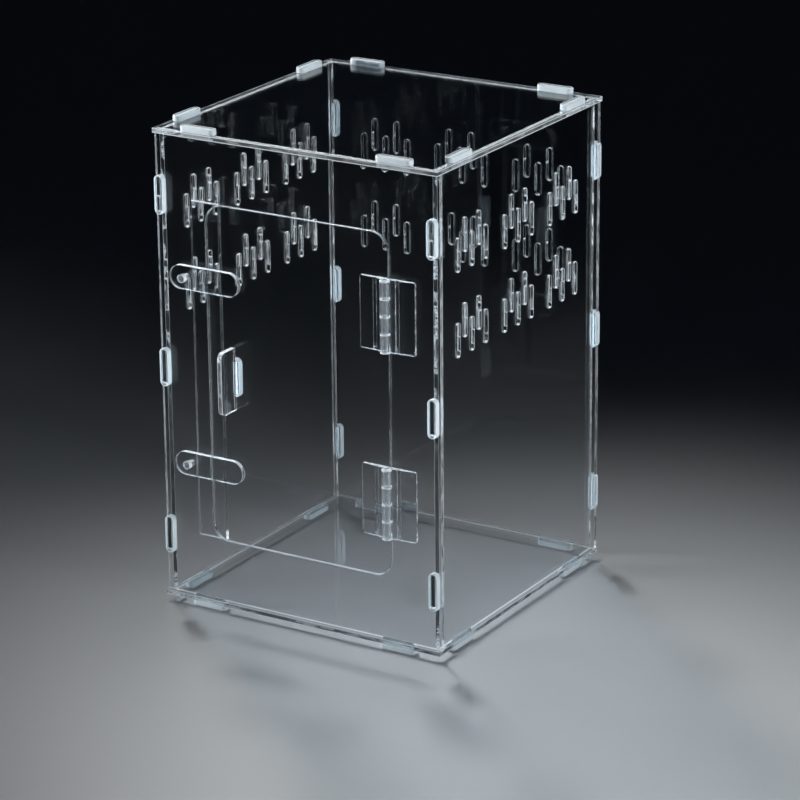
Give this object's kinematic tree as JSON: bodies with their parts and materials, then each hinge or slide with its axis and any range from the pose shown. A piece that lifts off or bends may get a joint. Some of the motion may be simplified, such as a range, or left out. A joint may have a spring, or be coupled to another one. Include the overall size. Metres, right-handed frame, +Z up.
{
  "type": "reptile enclosure",
  "caption": "Clear acrylic box for small reptiles: tabbed sheets locked by soft rings, vented sides and back, and a hinged front door with a handle and turning latches.",
  "frame": {"origin": "on the floor under the middle of the overall box, level with the undersides of the lower rings", "axes": "+Z up, -Y out through the door at the front, +X towards the hinges, on the right as seen from the front"},
  "size_m": [0.2, 0.2136, 0.3101],
  "materials": {
    "clear_acrylic": "polished, laser-cut edges",
    "milky_silicone": "satin, translucent",
    "clear_hinge_plastic": "moulded, clear",
    "clear_pin_plastic": "clear"
  },
  "bodies": {
    "enclosure": {"top_panel": "clear_acrylic", "bottom_panel": "clear_acrylic", "front_panel": "clear_acrylic", "back_panel": "clear_acrylic", "left_panel": "clear_acrylic", "right_panel": "clear_acrylic", "door_stop_strip": "clear_acrylic", "top_front_rings": "milky_silicone", "top_back_rings": "milky_silicone", "top_left_rings": "milky_silicone", "top_right_rings": "milky_silicone", "bottom_front_rings": "milky_silicone", "bottom_back_rings": "milky_silicone", "bottom_left_rings": "milky_silicone", "bottom_right_rings": "milky_silicone", "front_left_rings": "milky_silicone", "front_right_rings": "milky_silicone", "back_left_rings": "milky_silicone", "back_right_rings": "milky_silicone", "upper_hinge_frame_leaf": "clear_hinge_plastic", "lower_hinge_frame_leaf": "clear_hinge_plastic", "upper_hinge_pin": "clear_hinge_plastic", "lower_hinge_pin": "clear_hinge_plastic", "upper_latch_pin": "clear_pin_plastic", "lower_latch_pin": "clear_pin_plastic"},
    "door": {"door_panel": "clear_acrylic", "door_handle": "clear_acrylic", "handle_ring": "milky_silicone", "upper_hinge_door_leaf": "clear_hinge_plastic", "lower_hinge_door_leaf": "clear_hinge_plastic"},
    "upper_latch": {"upper_latch_arm": "clear_acrylic"},
    "lower_latch": {"lower_latch_arm": "clear_acrylic"}
  },
  "joints": [
    {"name": "door_swing", "type": "hinge", "parent": "enclosure", "child": "door", "pos_m": [0.06475, -0.09598, 0.15505], "axis": [0, 0, 1], "range_deg": [0, 180]},
    {"name": "upper_latch_turn", "type": "hinge", "parent": "enclosure", "child": "upper_latch", "pos_m": [-0.0795, -0.09358, 0.21545], "axis": [0, -1, 0], "range_deg": [-90, 90]},
    {"name": "lower_latch_turn", "type": "hinge", "parent": "enclosure", "child": "lower_latch", "pos_m": [-0.0795, -0.09358, 0.09465], "axis": [0, -1, 0], "range_deg": [-90, 90]}
  ]
}
